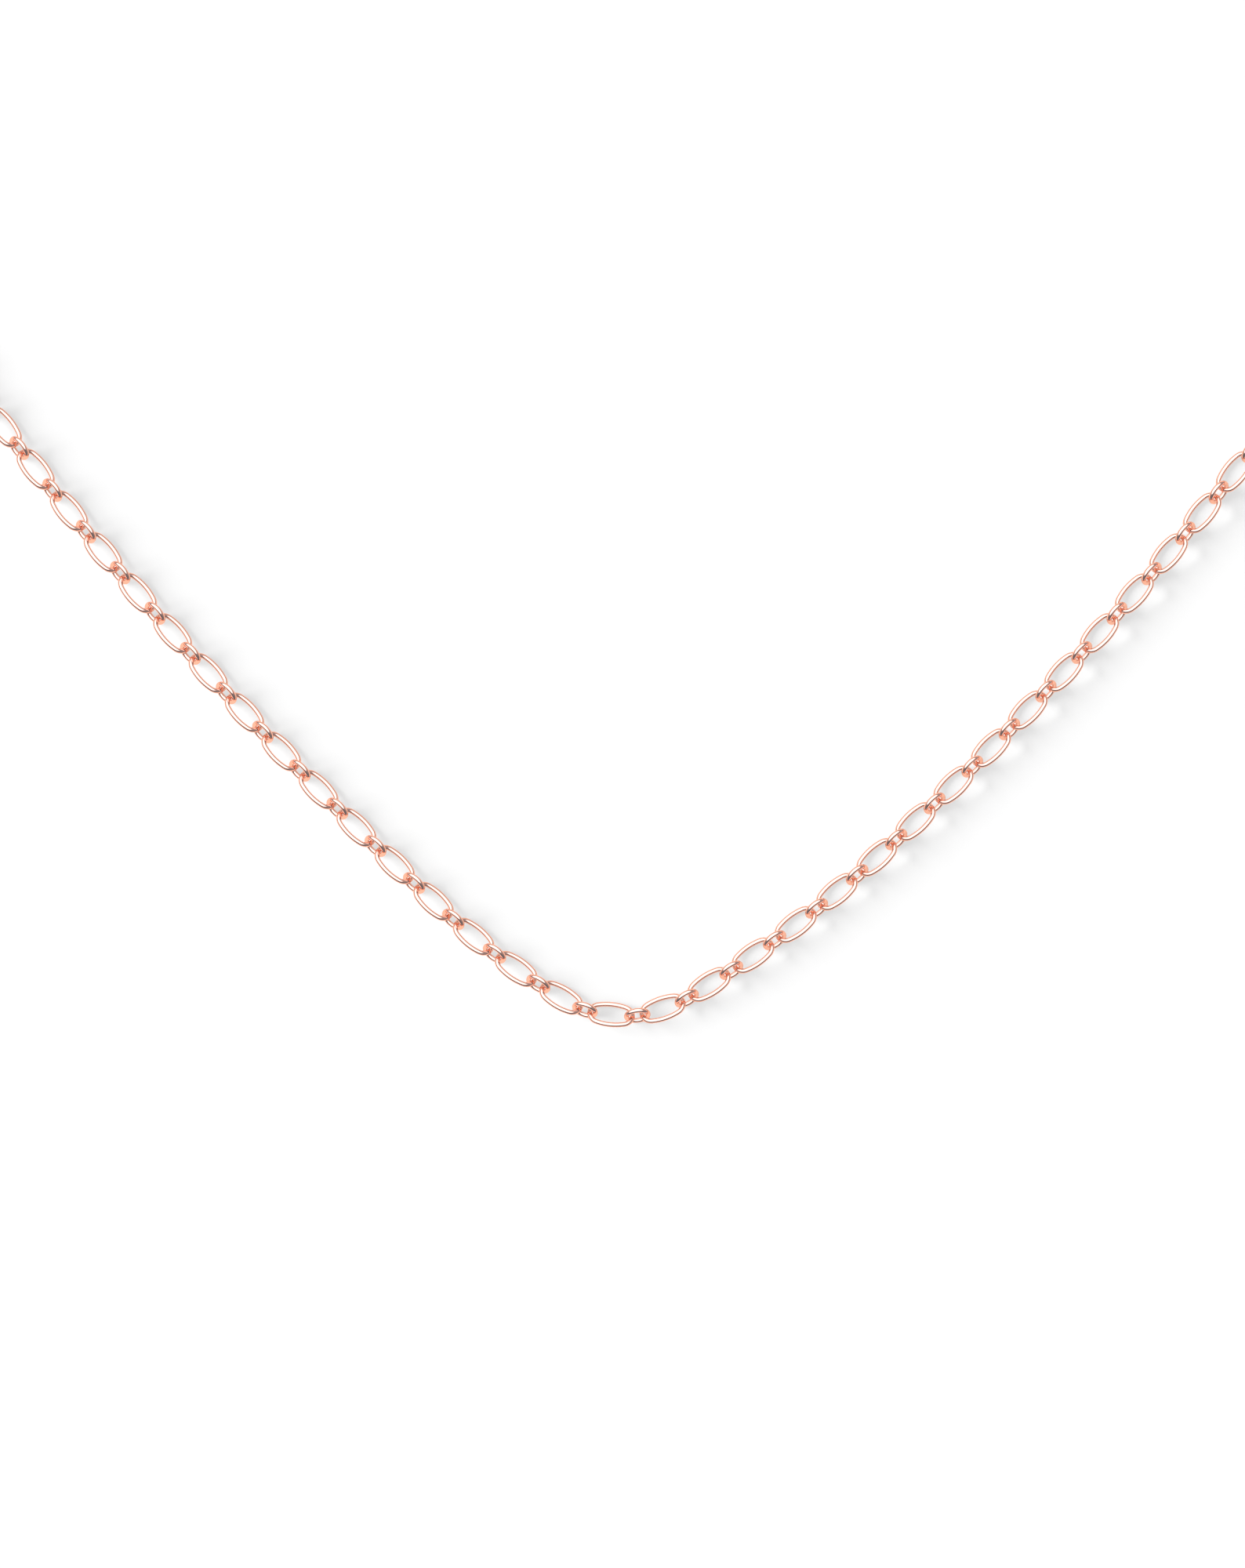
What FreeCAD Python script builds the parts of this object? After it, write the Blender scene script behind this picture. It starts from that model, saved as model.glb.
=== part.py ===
import FreeCAD, Part

# A fine chain necklace, unclasped and laid flat on a table. Long and short oval links
# take turns, hooked through one another at a right angle, with a lobster clasp on the
# left end and a plain ring on the right end. Millimetres, +Z up, the table at Z = 0,
# +Y from the lowest link towards the two ends.

import math
import os

from FreeCAD import Placement, Rotation, Vector

UP = Vector(0, 0, 1)

# Chain links, made of round wire. Lengths and widths are outside sizes.
WIRE = 0.45
LONG_LINK = {"length": 4.37, "width": 2.64, "end_radius": 0.95, "tilt": -36.0}
SHORT_LINK = {"length": 2.44, "width": 2.09, "end_radius": 0.75, "tilt": 54.0}
LEFT, RIGHT = -1, 1
GAP = {LEFT: 0.07, RIGHT: 0.105}    # air between two hooked wires; the right arm lies slacker
SECTION_LINKS = [2] * 4 + [4] * 21  # links that share a node, walked outwards: long, short, ...

# The lay of each arm, walked outwards from the lowest point: (length, turn in degrees).
RIGHT_LAY = [(6.2, 31.0), (22.3, 11.5), (48.0, 9.5), (150.0, 76.0)]
LEFT_LAY = [(5.0, 29.3), (13.9, 13.4), (59.0, 9.7), (148.0, 76.0)]
LOWEST_LINK_AT = -1.0   # where the lowest long link sits along the lay, left of the lowest point

# Rings at the two ends of the chain. Slack is how far each sits back from pulling tight.
CLASP_RING = {"diameter": 3.3, "wire": 0.50, "tilt": -34.0, "slit": 2.0, "slack": 0.34}
END_RING = {"diameter": 4.0, "wire": 0.55, "tilt": -22.0, "slit": 0.0, "slack": 0.24}
CLASP_RING_HEADING = -128.0
END_RING_HEADING = 132.0

# Lobster clasp, along its own X from the eye's centre at 0 to the nose.
CLASP_HEADING = -150.0
CLASP_THICK = 2.0
EYE = {"diameter": 2.6, "wire": 0.50, "slack": 0.70}
SHELL = {"start": 0.85, "end": 10.0, "tail_radius": 1.2, "nose_radius": 2.1, "side_radius": 8.0}
MOUTH = {"start": 4.4, "end": 8.8, "tail_radius": 0.8, "nose_radius": 1.2, "side_radius": 4.0}
SHELL_EDGE = 0.55       # rounding of the shell's outer edges
GATE_FROM = 4.6         # where the gap in the shell that the lever closes begins
GATE_RADIUS = 5.1       # the gap ends on an arc round the pivot
GATE_INNER_Y = -0.62
SLOT_FROM, SLOT_TO, SLOT_INNER_Y = 1.4, 4.8, 0.15
SLOT_THICK = 1.0

# Lever, its rivet and its spring.
LEVER_THICK = 0.9
LEVER_INNER_Y = -0.75
LEVER_TIP_GAP = 0.05
LEVER_EDGE = 0.15
PIVOT = Vector(2.35, -0.80, 0)
BOSS_RADIUS = 0.88
THUMB_AT, THUMB_RADIUS = Vector(3.4, -2.25, 0), 0.60
RIVET_RADIUS = 0.30
RIVET_HEAD_RADIUS, RIVET_HEAD = 0.45, 0.15   # sunk flush in both faces
CHEEK_FIT, LEVER_FIT = 0.01, 0.03   # radial air round the rivet in the cheeks and in the lever
SPRING_X = 3.7
SPRING_RADIUS, SPRING_WIRE, SPRING_TURNS = 0.32, 0.12, 7
WELL_RADIUS, WELL_END_Y = 0.45, 1.50
SPRING_END_GAP = 0.02


def egg_wire(start, end, tail_radius, nose_radius, side_radius):
    """A closed outline of four tangent arcs along X, from start to end."""
    tail_x = start + tail_radius
    nose_x = end - nose_radius
    to_tail = side_radius - tail_radius
    to_nose = side_radius - nose_radius
    side_x = (to_tail**2 - to_nose**2) / (2 * (nose_x - tail_x)) + (tail_x + nose_x) / 2
    side_y = math.sqrt(to_tail**2 - (side_x - tail_x) ** 2)

    def tangent_point(centre_x, radius, sign):
        out_x = (centre_x - side_x) / (side_radius - radius)
        out_y = side_y / (side_radius - radius)
        return Vector(centre_x + radius * out_x, sign * radius * out_y, 0)

    tail_up = tangent_point(tail_x, tail_radius, 1)
    tail_down = tangent_point(tail_x, tail_radius, -1)
    nose_up = tangent_point(nose_x, nose_radius, 1)
    nose_down = tangent_point(nose_x, nose_radius, -1)
    half_width = side_radius - side_y
    arcs = [
        Part.Arc(tail_up, Vector(side_x, half_width, 0), nose_up),
        Part.Arc(nose_up, Vector(end, 0, 0), nose_down),
        Part.Arc(nose_down, Vector(side_x, -half_width, 0), tail_down),
        Part.Arc(tail_down, Vector(start, 0, 0), tail_up),
    ]
    return Part.Wire([arc.toShape() for arc in arcs])


def oval_side_radius(half_length, half_width, end_radius):
    """The side radius of a four-arc oval that has this size and end radius."""
    end_x = half_length - end_radius
    return (end_x**2 + half_width**2 - end_radius**2) / (2 * (half_width - end_radius))


def link_solid(link):
    """One closed link of round wire, flat in XY, its length along X, centred on the origin."""
    half_length = (link["length"] - WIRE) / 2
    half_width = (link["width"] - WIRE) / 2
    end_radius = link["end_radius"]
    side_radius = oval_side_radius(half_length, half_width, end_radius)
    centre_line = egg_wire(-half_length, half_length, end_radius, end_radius, side_radius)
    start = centre_line.Edges[0]
    first = start.valueAt(start.FirstParameter)
    direction = start.tangentAt(start.FirstParameter)
    section = Part.Wire(Part.makeCircle(WIRE / 2, first, direction))
    pipe = Part.BRepOffsetAPI.MakePipeShell(centre_line)
    pipe.add(section)
    pipe.build()
    return Part.Solid(Part.Shell(pipe.shape().Faces))


def ring_solid(ring):
    """A round ring in XY, cut through at its +Y side where it has a slit."""
    sweep = 360.0 - ring["slit"]
    radius = (ring["diameter"] - ring["wire"]) / 2
    solid = Part.makeTorus(radius, ring["wire"] / 2, Vector(), UP, 0, 360, sweep)
    solid.rotate(Vector(), UP, 90 + ring["slit"] / 2)
    return solid


def reach(length, wire, side):
    """From a link's centre to the middle of the gap to the wire hooked in its end."""
    return length / 2 - wire - GAP[side] / 2


def tilted_height(half_width, wire, tilt):
    """How high a ring's centre stands when its plane is tilted and its low side is on the table."""
    return (half_width - wire / 2) * math.sin(math.radians(abs(tilt))) + wire / 2


def laid(shape, centre, heading, tilt):
    """A copy of a flat shape, tilted about its own X, turned to its heading and put in place."""
    turn = Rotation(UP, heading).multiply(Rotation(Vector(1, 0, 0), tilt))
    copy = shape.copy()
    copy.Placement = Placement(centre, turn).multiply(shape.Placement)
    return copy


def heading_at(distance):
    """Heading from left to right, in degrees, at a signed distance from the lowest point."""
    turned = 0.0
    remaining = abs(distance)
    for length, turn in RIGHT_LAY if distance >= 0 else LEFT_LAY:
        step = min(remaining, length)
        turned += turn * step / length
        remaining -= step
    return math.copysign(turned, distance)


def along(heading, distance):
    """A step in the table's plane."""
    angle = math.radians(heading)
    return Vector(distance * math.cos(angle), distance * math.sin(angle), 0)


CHAIN_HEIGHT = max(tilted_height(l["width"] / 2, WIRE, l["tilt"]) for l in (LONG_LINK, SHORT_LINK))
LONG_SOLID = link_solid(LONG_LINK)
SHORT_SOLID = link_solid(SHORT_LINK)


def chain_link(link, hinge, side, distance):
    """The next link outwards from a hinge: its solid, its outer hinge and its distance there."""
    step = side * reach(link["length"], WIRE, side)
    heading = heading_at(distance + step)
    centre = hinge + along(heading, step)
    solid = laid(LONG_SOLID if link is LONG_LINK else SHORT_SOLID, centre, heading, link["tilt"])
    return solid, centre + along(heading, step), distance + 2 * step


def chain_arm(side, name, hinge, distance):
    """The sections of one arm: nodes {name: shape}, hinges [(child, point)] and the last hinge."""
    nodes, hinges = {}, []
    for number, count in enumerate(SECTION_LINKS, start=1):
        node = f"{name}_{number:02d}"
        hinges.append((node, hinge))
        solids = []
        for index in range(count):
            link = LONG_LINK if index % 2 == 0 else SHORT_LINK
            solid, hinge, distance = chain_link(link, hinge, side, distance)
            solids.append(solid)
        nodes[node] = Part.makeCompound(solids)
    return nodes, hinges, hinge


def lowest_links():
    """The lowest long link with a short link in each end: its shape and its two outer hinges."""
    heading = heading_at(LOWEST_LINK_AT)
    centre = along(0, LOWEST_LINK_AT) + Vector(0, 0, CHAIN_HEIGHT)
    solids = [laid(LONG_SOLID, centre, heading, LONG_LINK["tilt"])]
    ends = {}
    for side in (LEFT, RIGHT):
        step = side * reach(LONG_LINK["length"], WIRE, side)
        inner = centre + along(heading, step)
        solid, outer, distance = chain_link(SHORT_LINK, inner, side, LOWEST_LINK_AT + step)
        solids.append(solid)
        ends[side] = (outer, distance)
    return Part.makeCompound(solids), ends


def ring_at(ring, hinge, side, heading):
    """A ring hooked on the last link: its solid and the hinge at its far side."""
    step = reach(ring["diameter"], ring["wire"], side)
    centre = hinge + along(heading, side * (step - ring["slack"]))
    centre.z = tilted_height(ring["diameter"] / 2, ring["wire"], ring["tilt"])
    return laid(ring_solid(ring), centre, heading, ring["tilt"]), centre + along(heading, side * step)


def box(x_from, x_to, y_from, y_to, thick):
    """A block between these limits, centred on Z = 0."""
    corner = Vector(x_from, y_from, -thick / 2)
    return Part.makeBox(x_to - x_from, y_to - y_from, thick, corner)


def rounded(solid, thick, edge):
    """A plate about Z = 0 with the edges of its two faces rounded."""
    rims = [e for e in solid.Edges if abs(abs(e.CenterOfMass.z) - thick / 2) < 1e-6]
    return solid.makeFillet(edge, rims)


def plate(wire, thick):
    """An outline made solid about Z = 0."""
    face = Part.Face(wire)
    face.translate(Vector(0, 0, -thick / 2))
    return face.extrude(Vector(0, 0, thick))


def upright(radius, height, centre):
    """A cylinder along Z, centred on a point."""
    return Part.makeCylinder(radius, height, centre - Vector(0, 0, height / 2), UP)


def clasp_body():
    """The cast claw: eye, spring housing, spine, nose and hook tip, slotted for the lever."""
    shell = rounded(plate(egg_wire(**SHELL), CLASP_THICK), CLASP_THICK, SHELL_EDGE)
    eye = Part.makeTorus((EYE["diameter"] - EYE["wire"]) / 2, EYE["wire"] / 2)
    claw = shell.fuse(eye).cut(plate(egg_wire(**MOUTH), CLASP_THICK))
    far_y = -2 * SHELL["nose_radius"]
    gate = box(GATE_FROM, SHELL["end"], far_y, GATE_INNER_Y, CLASP_THICK)
    claw = claw.cut(gate.common(upright(GATE_RADIUS, CLASP_THICK, PIVOT)))
    claw = claw.cut(box(SLOT_FROM, SLOT_TO, far_y, SLOT_INNER_Y, SLOT_THICK))
    well = Part.makeCylinder(WELL_RADIUS, WELL_END_Y, Vector(SPRING_X, 0, 0), Vector(0, 1, 0))
    return claw.cut(well).cut(rivet_solid(CHEEK_FIT)).removeSplitter()


def clasp_lever():
    """The gate: it follows the shell's outline, with a boss on the rivet and a thumb lug."""
    ring = plate(egg_wire(**SHELL), LEVER_THICK).cut(plate(egg_wire(**MOUTH), LEVER_THICK))
    far_y = -2 * SHELL["nose_radius"]
    swept = upright(GATE_RADIUS - LEVER_TIP_GAP, LEVER_THICK, PIVOT)
    arm = ring.common(box(PIVOT.x, SHELL["end"], far_y, LEVER_INNER_Y, LEVER_THICK)).common(swept)
    boss = upright(BOSS_RADIUS, LEVER_THICK, PIVOT)
    thumb = upright(THUMB_RADIUS, LEVER_THICK, THUMB_AT)
    lever, *others = (rounded(piece, LEVER_THICK, LEVER_EDGE) for piece in (arm, boss, thumb))
    return lever.fuse(others).cut(upright(RIVET_RADIUS + LEVER_FIT, LEVER_THICK, PIVOT))


def rivet_solid(air):
    """The rivet's shape, grown by some air: a shank with a flush head at each face."""
    rivet = upright(RIVET_RADIUS + air, CLASP_THICK, PIVOT)
    for side in (-1, 1):
        face = PIVOT + Vector(0, 0, side * CLASP_THICK / 2)
        inward = Vector(0, 0, -side)
        head = Part.makeCylinder(RIVET_HEAD_RADIUS + air, RIVET_HEAD + air, face, inward)
        rivet = rivet.fuse(head)
    return rivet.removeSplitter()


def clasp_rivet():
    """The pin that the lever turns on."""
    return rivet_solid(0)


def clasp_spring():
    """The coil spring between the lever's inner face and the bottom of its well."""
    start_y = LEVER_INNER_Y + SPRING_END_GAP + SPRING_WIRE / 2
    end_y = WELL_END_Y - SPRING_END_GAP - SPRING_WIRE / 2
    length = end_y - start_y
    helix = Part.makeHelix(length / SPRING_TURNS, length, SPRING_RADIUS)
    start = helix.Edges[0].valueAt(helix.Edges[0].FirstParameter)
    direction = helix.Edges[0].tangentAt(helix.Edges[0].FirstParameter)
    section = Part.Wire(Part.makeCircle(SPRING_WIRE / 2, start, direction))
    coil = Part.Wire(helix.Edges).makePipeShell([section], True, True)
    coil.rotate(Vector(), Vector(1, 0, 0), -90)
    coil.translate(Vector(SPRING_X, start_y, 0))
    return coil


def clasp_parts(hinge):
    """The clasp's nodes, laid flat with the eye hooked on the clasp ring."""
    step = reach(EYE["diameter"], EYE["wire"], LEFT) - EYE["slack"]
    centre = hinge + along(CLASP_HEADING, -step)
    centre.z = CLASP_THICK / 2
    makers = {
        "clasp_body": clasp_body,
        "clasp_lever": clasp_lever,
        "clasp_rivet": clasp_rivet,
        "clasp_spring": clasp_spring,
    }
    nodes = {name: laid(make(), centre, CLASP_HEADING + 180, 0) for name, make in makers.items()}
    turn = Rotation(UP, CLASP_HEADING + 180)
    return nodes, centre + turn.multVec(PIVOT)


def necklace():
    """Every node {name: shape} and every hinge [(parent, child, point)], unclasped on the table."""
    lowest, ends = lowest_links()
    nodes = {"lowest_links": lowest}
    hinges = []
    last = {}
    for side, name in ((LEFT, "left_chain"), (RIGHT, "right_chain")):
        arm, points, last[side] = chain_arm(side, name, *ends[side])
        parents = ["lowest_links", *arm]
        hinges += [(parent, child, point) for parent, (child, point) in zip(parents, points)]
        nodes.update(arm)
    left_end = f"left_chain_{len(SECTION_LINKS):02d}"
    right_end = f"right_chain_{len(SECTION_LINKS):02d}"
    nodes["clasp_ring"], clasp_hinge = ring_at(CLASP_RING, last[LEFT], LEFT, CLASP_RING_HEADING)
    nodes["end_ring"], _ = ring_at(END_RING, last[RIGHT], RIGHT, END_RING_HEADING)
    clasp, pivot = clasp_parts(clasp_hinge)
    nodes.update(clasp)
    hinges += [
        (left_end, "clasp_ring", last[LEFT]),
        ("clasp_ring", "clasp_body", clasp_hinge),
        ("clasp_body", "clasp_lever", pivot),
        (right_end, "end_ring", last[RIGHT]),
    ]
    return nodes, hinges


def centred(nodes, hinges):
    """The same, moved so that the origin is under the middle of the whole necklace."""
    bounds = Part.makeCompound(list(nodes.values())).optimalBoundingBox(False, False)
    shift = Vector(-bounds.Center.x, -bounds.Center.y, -bounds.ZMin)
    for shape in nodes.values():
        shape.translate(shift)
    return nodes, [(parent, child, point + shift) for parent, child, point in hinges]


NODES, HINGES = centred(*necklace())

os.makedirs("parts", exist_ok=True)
for node_name, node_shape in NODES.items():
    node_shape.exportStep(f"parts/{node_name}.step")
for parent_name, child_name, hinge_point in HINGES:
    print(f"{parent_name} -> {child_name} hinge at {hinge_point.x:.3f}, {hinge_point.y:.3f}")
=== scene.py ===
"""A rose-gold cable chain necklace, unclasped and laid flat, seen from straight above.

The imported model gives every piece's place and size. Each chain link is drawn again as a
smooth tube where its solid lies. Metres, +Z up, the floor at Z = 0.
"""

import math

import bpy
import numpy as np
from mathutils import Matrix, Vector


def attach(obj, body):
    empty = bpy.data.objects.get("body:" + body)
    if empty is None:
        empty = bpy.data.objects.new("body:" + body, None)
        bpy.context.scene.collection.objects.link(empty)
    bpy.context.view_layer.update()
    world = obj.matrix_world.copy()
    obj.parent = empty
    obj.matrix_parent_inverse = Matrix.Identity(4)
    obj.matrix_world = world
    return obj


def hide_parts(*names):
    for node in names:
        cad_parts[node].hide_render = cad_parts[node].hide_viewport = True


MM = 0.001

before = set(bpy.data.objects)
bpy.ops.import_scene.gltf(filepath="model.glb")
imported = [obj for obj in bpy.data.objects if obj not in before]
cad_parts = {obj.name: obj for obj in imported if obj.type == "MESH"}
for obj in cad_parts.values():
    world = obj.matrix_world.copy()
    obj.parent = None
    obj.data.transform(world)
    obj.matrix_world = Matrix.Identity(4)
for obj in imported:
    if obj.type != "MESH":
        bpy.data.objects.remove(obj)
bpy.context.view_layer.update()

# The picture: 113.4 by 142.9 mm of the table, measured from the lowest long link.
PICTURE_HEIGHT = 142.86 * MM
PICTURE_CENTRE = Vector((1.04 * MM, 21.00 * MM, 0))
LENS = 100.0
SENSOR = 36.0

# How the smooth links are drawn.
LONG_FROM = 3.3 * MM            # a link longer than this is a long one
LONG_END_RADIUS = 0.95 * MM     # of the wire's centre line, at the link's ends
SHORT_END_RADIUS = 0.75 * MM
STEPS_PER_ARC = 28
STEPS_ROUND_WIRE = 24

# What the metal mirrors: a tent, bright overhead, with dim walls and a darker near side.
OVERHEAD = (1.90, 1.98, 2.12)
WALLS = (0.40, 0.36, 0.37)
NEAR_WALL = (0.18, 0.20, 0.23)
OVERHEAD_AXIS = (-0.15, 0.30, 0.94)  # the bright part's middle, leaning away from the near wall
OVERHEAD_EDGE = (0.60, 0.74)    # cosine from that axis where the bright part begins
NEAR_WALL_EDGE = (-0.65, -0.15)  # the direction's Y where the near wall ends

# The table glows evenly, and a broad far light low on the left, turned a little behind, casts
# the shadows. Angles in degrees.
TABLE_GLOW = 7.2
KEY_ELEVATION = 15.0
KEY_BEHIND = 10.0
KEY_SPREAD = 52.0
KEY_STRENGTH = 42.0
TABLE_SIDE = 1800 * MM
TABLE_SEEN = (0.09, 0.09, 0.09)         # the table's colour to the camera
TABLE_PAINTED_REFLECTION = (0.100, 0.074, 0.061)  # and in the metal: a painted reflection, tinted warm to stand for light thrown off the chain


# ---------------------------------------------------------------- measuring the solids

def solids_of(node):
    """The separate solids in a node's mesh, each as an array of triangles (n, 3, 3)."""
    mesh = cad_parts[node].data
    mesh.calc_loop_triangles()
    points = np.zeros(len(mesh.vertices) * 3)
    mesh.vertices.foreach_get("co", points)
    points = points.reshape(-1, 3)
    corners = np.zeros(len(mesh.loop_triangles) * 3, dtype=int)
    mesh.loop_triangles.foreach_get("vertices", corners)
    _, merged = np.unique(np.round(points, 8), axis=0, return_inverse=True)
    faces = merged.reshape(-1)[corners].reshape(-1, 3)
    label = np.arange(faces.max() + 1)
    while True:
        lowest = label[faces].min(axis=1)
        spread = label.copy()
        for column in range(3):
            np.minimum.at(spread, faces[:, column], lowest)
        if np.array_equal(spread, label):
            break
        label = spread
    triangles = points[corners].reshape(-1, 3, 3)
    groups = label[faces[:, 0]]
    return [triangles[groups == group] for group in np.unique(groups)]


def placed(triangles):
    """A solid's centre of volume and its principal axes, the longest first, as rows."""
    start = triangles.reshape(-1, 3).mean(axis=0)
    a, b, c = (triangles[:, i] - start for i in range(3))
    volume = np.einsum("ij,ij->i", a, np.cross(b, c)) / 6
    total = a + b + c
    centre = (volume[:, None] * total / 4).sum(axis=0) / volume.sum()
    moment = sum(np.einsum("i,ij,ik->jk", volume, v, v) for v in (a, b, c, total)) / 20
    moment -= volume.sum() * np.outer(centre, centre)
    axes = np.linalg.eigh(moment)[1].T[::-1]
    return centre + start, axes


def extent(triangles, axis):
    """A solid's size along an axis."""
    along = triangles.reshape(-1, 3) @ axis
    return float(along.max() - along.min())


# ---------------------------------------------------------------- materials

def new_material(name):
    """An empty node material with a principled shader: (material, nodes, links, shader)."""
    material = bpy.data.materials.new(name)
    material.use_nodes = True
    tree = material.node_tree
    shader = tree.nodes["Principled BSDF"]
    return material, tree.nodes, tree.links, shader


def polished_metal(name, colour, deep_colour, roughness):
    """Polished alloy: slow colour drift, uneven polish and faint scratches."""
    material, nodes, links, shader = new_material(name)
    place = nodes.new("ShaderNodeTexCoord")
    shader.inputs["Metallic"].default_value = 1.0

    drift = nodes.new("ShaderNodeTexNoise")
    drift.inputs["Scale"].default_value = 260.0
    drift.inputs["Detail"].default_value = 2.0
    links.new(place.outputs["Object"], drift.inputs["Vector"])
    tint = nodes.new("ShaderNodeMixRGB")
    tint.inputs["Color1"].default_value = (*colour, 1)
    tint.inputs["Color2"].default_value = (*deep_colour, 1)
    links.new(drift.outputs["Fac"], tint.inputs["Fac"])
    links.new(tint.outputs["Color"], shader.inputs["Base Color"])

    polish = nodes.new("ShaderNodeTexNoise")
    polish.inputs["Scale"].default_value = 2200.0
    polish.inputs["Detail"].default_value = 3.0
    links.new(place.outputs["Object"], polish.inputs["Vector"])
    spread = nodes.new("ShaderNodeMapRange")
    spread.inputs["To Min"].default_value = roughness * 0.7
    spread.inputs["To Max"].default_value = roughness * 1.5
    links.new(polish.outputs["Fac"], spread.inputs["Value"])
    links.new(spread.outputs["Result"], shader.inputs["Roughness"])

    bump = nodes.new("ShaderNodeBump")
    bump.inputs["Strength"].default_value = 0.12
    bump.inputs["Distance"].default_value = 0.004 * MM
    links.new(polish.outputs["Fac"], bump.inputs["Height"])
    links.new(bump.outputs["Normal"], shader.inputs["Normal"])
    return material


def floor_material():
    """Matt white light table with a hardly visible mottle; in the metal its reflection is painted
    warmer than it looks to the camera, for light off the chain.
    """
    material, nodes, links, shader = new_material("white_table")
    # Painted reflection: every ray but the camera's sees the table in a warmer colour, standing for
    # light off the chain.
    rays = nodes.new("ShaderNodeLightPath")
    seen_or_painted_reflection = nodes.new("ShaderNodeMixRGB")
    seen_or_painted_reflection.inputs["Color1"].default_value = (*TABLE_PAINTED_REFLECTION, 1)
    seen_or_painted_reflection.inputs["Color2"].default_value = (*TABLE_SEEN, 1)
    links.new(rays.outputs["Is Camera Ray"], seen_or_painted_reflection.inputs["Fac"])
    place = nodes.new("ShaderNodeTexCoord")
    mottle = nodes.new("ShaderNodeTexNoise")
    mottle.inputs["Scale"].default_value = 40.0
    links.new(place.outputs["Object"], mottle.inputs["Vector"])
    tint = nodes.new("ShaderNodeMixRGB")
    tint.blend_type = "MULTIPLY"
    tint.inputs["Fac"].default_value = 0.02
    links.new(seen_or_painted_reflection.outputs["Color"], tint.inputs["Color1"])
    links.new(mottle.outputs["Fac"], tint.inputs["Color2"])
    links.new(tint.outputs["Color"], shader.inputs["Base Color"])
    links.new(tint.outputs["Color"], shader.inputs["Emission Color"])
    shader.inputs["Emission Strength"].default_value = TABLE_GLOW
    shader.inputs["Roughness"].default_value = 0.9
    shader.inputs["Specular IOR Level"].default_value = 0.0
    return material


ROSE_GOLD = polished_metal("rose_gold", (0.94, 0.63, 0.53), (0.93, 0.59, 0.48), 0.06)
CLASP_GOLD = polished_metal("rose_gold_cast", (0.94, 0.61, 0.49), (0.91, 0.56, 0.44), 0.16)
STEEL = polished_metal("spring_steel", (0.62, 0.61, 0.60), (0.52, 0.51, 0.51), 0.28)


# ---------------------------------------------------------------- chain links

def oval(length, width, end_radius):
    """Points and outward normals, (n, 3) each, round an oval of four tangent arcs."""
    half_length, half_width = length / 2, width / 2
    end_x = half_length - end_radius
    side_radius = (end_x**2 + half_width**2 - end_radius**2) / (2 * (half_width - end_radius))
    side_y = side_radius - half_width
    turn = math.atan2(side_y, end_x)
    arcs = [
        ((end_x, 0), end_radius, -turn, turn),
        ((0, -side_y), side_radius, turn, math.pi - turn),
        ((-end_x, 0), end_radius, math.pi - turn, math.pi + turn),
        ((0, side_y), side_radius, math.pi + turn, 2 * math.pi - turn),
    ]
    points, normals = [], []
    for (x, y), radius, start, stop in arcs:
        angles = np.linspace(start, stop, STEPS_PER_ARC, endpoint=False)
        outward = np.stack([np.cos(angles), np.sin(angles), np.zeros_like(angles)], axis=1)
        points.append(np.array([x, y, 0]) + radius * outward)
        normals.append(outward)
    return np.concatenate(points), np.concatenate(normals)


def tube(points, normals, radius):
    """A closed round tube along a flat closed line: vertices (n, 3) and quads (n, 4)."""
    angles = np.linspace(0, 2 * math.pi, STEPS_ROUND_WIRE, endpoint=False)
    across = normals[:, None, :] * np.cos(angles)[None, :, None]
    upward = np.array([0, 0, 1.0]) * np.sin(angles)[None, :, None]
    vertices = points[:, None, :] + radius * (across + upward)
    ring, step = np.meshgrid(np.arange(len(points)), np.arange(STEPS_ROUND_WIRE), indexing="ij")
    next_ring, next_step = (ring + 1) % len(points), (step + 1) % STEPS_ROUND_WIRE
    corners = [(ring, step), (next_ring, step), (next_ring, next_step), (ring, next_step)]
    quads = np.stack([a * STEPS_ROUND_WIRE + b for a, b in corners], axis=-1)
    return vertices.reshape(-1, 3), quads.reshape(-1, 4)


def smooth_links(node):
    """One smooth mesh of all the links in a node, each where its solid lies."""
    vertices, faces, count = [], [], 0
    for triangles in solids_of(node):
        centre, axes = placed(triangles)
        if np.linalg.det(axes) < 0:
            axes[2] = -axes[2]
        length, width, wire = (extent(triangles, axis) for axis in axes)
        end_radius = LONG_END_RADIUS if length > LONG_FROM else SHORT_END_RADIUS
        points, normals = oval(length - wire, width - wire, end_radius)
        flat, quads = tube(points, normals, wire / 2)
        vertices.append(flat @ axes + centre)
        faces.append(quads + count)
        count += len(flat)
    mesh = bpy.data.meshes.new(node + "_links")
    mesh.from_pydata(np.concatenate(vertices), [], np.concatenate(faces))
    mesh.polygons.foreach_set("use_smooth", [True] * len(mesh.polygons))
    mesh.update()
    piece = bpy.data.objects.new(node + "_links", mesh)
    bpy.context.scene.collection.objects.link(piece)
    piece.data.materials.append(ROSE_GOLD)
    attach(piece, node)
    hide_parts(node)
    return piece


def is_chain(node):
    """True for the nodes that are links of the chain."""
    return "_chain_" in node or node == "lowest_links"


def dress(node, material):
    """Gives a kept CAD node its material."""
    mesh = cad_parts[node].data
    mesh.materials.clear()
    mesh.materials.append(material)


for name in sorted(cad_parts):
    if is_chain(name):
        smooth_links(name)
for name in ("clasp_ring", "end_ring", "clasp_body", "clasp_lever"):
    dress(name, CLASP_GOLD)
for name in ("clasp_rivet", "clasp_spring"):
    dress(name, STEEL)


# ---------------------------------------------------------------- floor, light and camera

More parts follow.
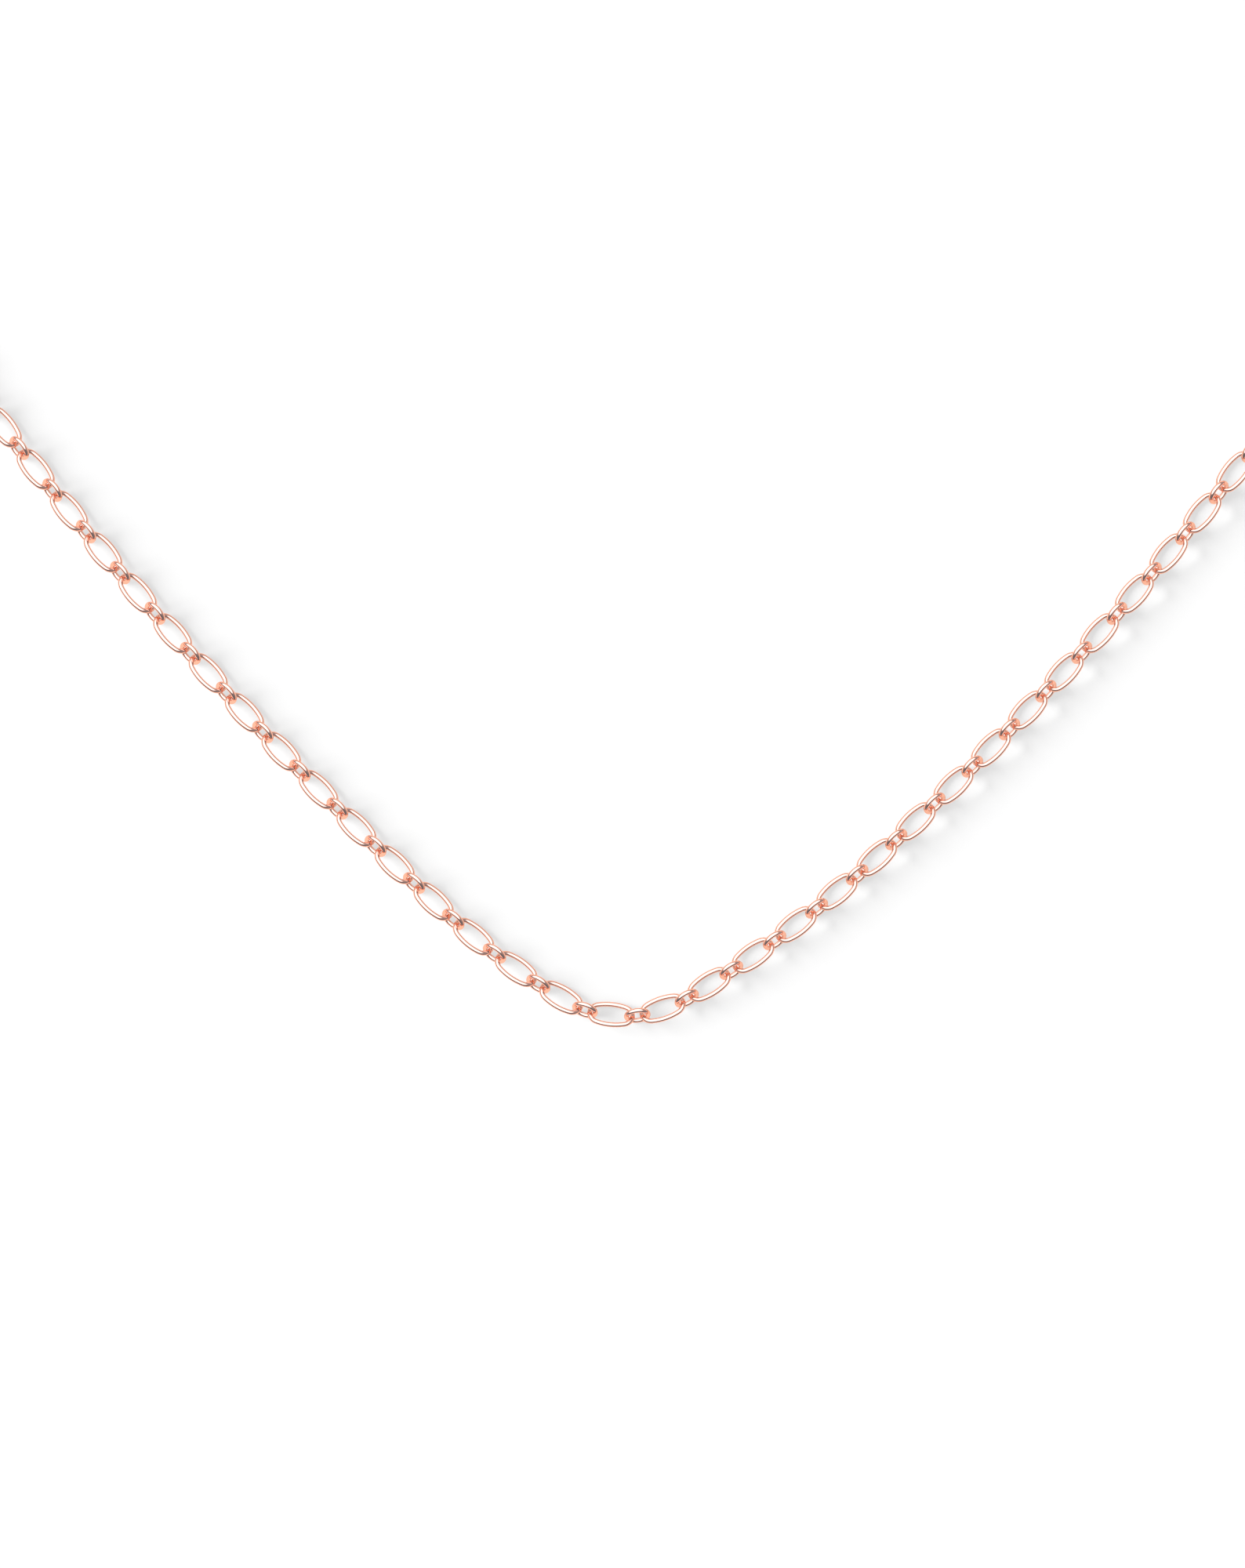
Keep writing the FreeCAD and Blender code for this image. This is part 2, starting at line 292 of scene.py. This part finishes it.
def add_floor():
    """The white table."""
    mesh = bpy.data.meshes.new("table")
    half = TABLE_SIDE / 2
    corners = [(-half, -half, 0), (half, -half, 0), (half, half, 0), (-half, half, 0)]
    mesh.from_pydata(corners, [], [(0, 1, 2, 3)])
    table = bpy.data.objects.new("table", mesh)
    bpy.context.scene.collection.objects.link(table)
    mesh.materials.append(floor_material())


def add_key_light():
    """The low far light, which lights the table and doesn't show in the metal."""
    light = bpy.data.lights.new("key_light", "SUN")
    light.energy = KEY_STRENGTH
    light.angle = math.radians(KEY_SPREAD)
    lamp = bpy.data.objects.new("key_light", light)
    bpy.context.scene.collection.objects.link(lamp)
    lamp.rotation_euler = (0, math.radians(KEY_ELEVATION - 90), math.radians(-KEY_BEHIND))
    lamp.visible_camera = False
    lamp.visible_glossy = False


def lowest_long_link():
    """The centre of the lowest long link, the place that the picture is measured from."""
    solids = solids_of("lowest_links")
    longest = max(solids, key=lambda s: extent(s, placed(s)[1][0]))
    return Vector(placed(longest)[0])


def add_camera(centre):
    """A camera straight above a point of the table, framing the picture's height."""
    data = bpy.data.cameras.new("camera")
    data.sensor_fit = "VERTICAL"
    data.sensor_height = SENSOR
    data.lens = LENS
    data.clip_start, data.clip_end = 0.01, 20.0
    camera = bpy.data.objects.new("camera", data)
    bpy.context.scene.collection.objects.link(camera)
    camera.location = centre + Vector((0, 0, PICTURE_HEIGHT * LENS / SENSOR))
    bpy.context.scene.camera = camera


def add_world():
    """A light tent, bright overhead and dark on the near side, seen only in the metal.

    The camera and the table see plain white.
    """
    world = bpy.data.worlds.new("studio")
    bpy.context.scene.world = world
    world.use_nodes = True
    nodes, links = world.node_tree.nodes, world.node_tree.links
    place = nodes.new("ShaderNodeTexCoord")
    direction = nodes.new("ShaderNodeSeparateXYZ")
    links.new(place.outputs["Generated"], direction.inputs["Vector"])
    from_axis = nodes.new("ShaderNodeVectorMath")
    from_axis.operation = "DOT_PRODUCT"
    from_axis.inputs[1].default_value = OVERHEAD_AXIS
    links.new(place.outputs["Generated"], from_axis.inputs[0])

    def blend(output, edge, low, high):
        """A soft step from low to high along one measure of the direction.

        Each of low and high is a colour or another blend.
        """
        step = nodes.new("ShaderNodeMapRange")
        step.interpolation_type = "SMOOTHSTEP"
        step.inputs["From Min"].default_value, step.inputs["From Max"].default_value = edge
        links.new(output, step.inputs["Value"])
        mix = nodes.new("ShaderNodeMixRGB")
        links.new(step.outputs["Result"], mix.inputs["Fac"])
        for name, colour in (("Color1", low), ("Color2", high)):
            if isinstance(colour, tuple):
                mix.inputs[name].default_value = (*colour, 1)
            else:
                links.new(colour, mix.inputs[name])
        return mix.outputs["Color"]

    walls = blend(direction.outputs["Y"], NEAR_WALL_EDGE, NEAR_WALL, WALLS)
    dome = blend(from_axis.outputs["Value"], OVERHEAD_EDGE, walls, OVERHEAD)
    room = nodes["Background"]
    links.new(dome, room.inputs["Color"])
    white = nodes.new("ShaderNodeBackground")
    white.inputs["Color"].default_value = (1, 1, 1, 1)
    rays = nodes.new("ShaderNodeLightPath")
    mix = nodes.new("ShaderNodeMixShader")
    links.new(rays.outputs["Is Glossy Ray"], mix.inputs["Fac"])
    links.new(white.outputs["Background"], mix.inputs[1])
    links.new(room.outputs["Background"], mix.inputs[2])
    links.new(mix.outputs["Shader"], nodes["World Output"].inputs["Surface"])


bpy.context.scene.view_settings.view_transform = "Standard"
add_world()
add_floor()
add_key_light()
add_camera(lowest_long_link() + PICTURE_CENTRE)
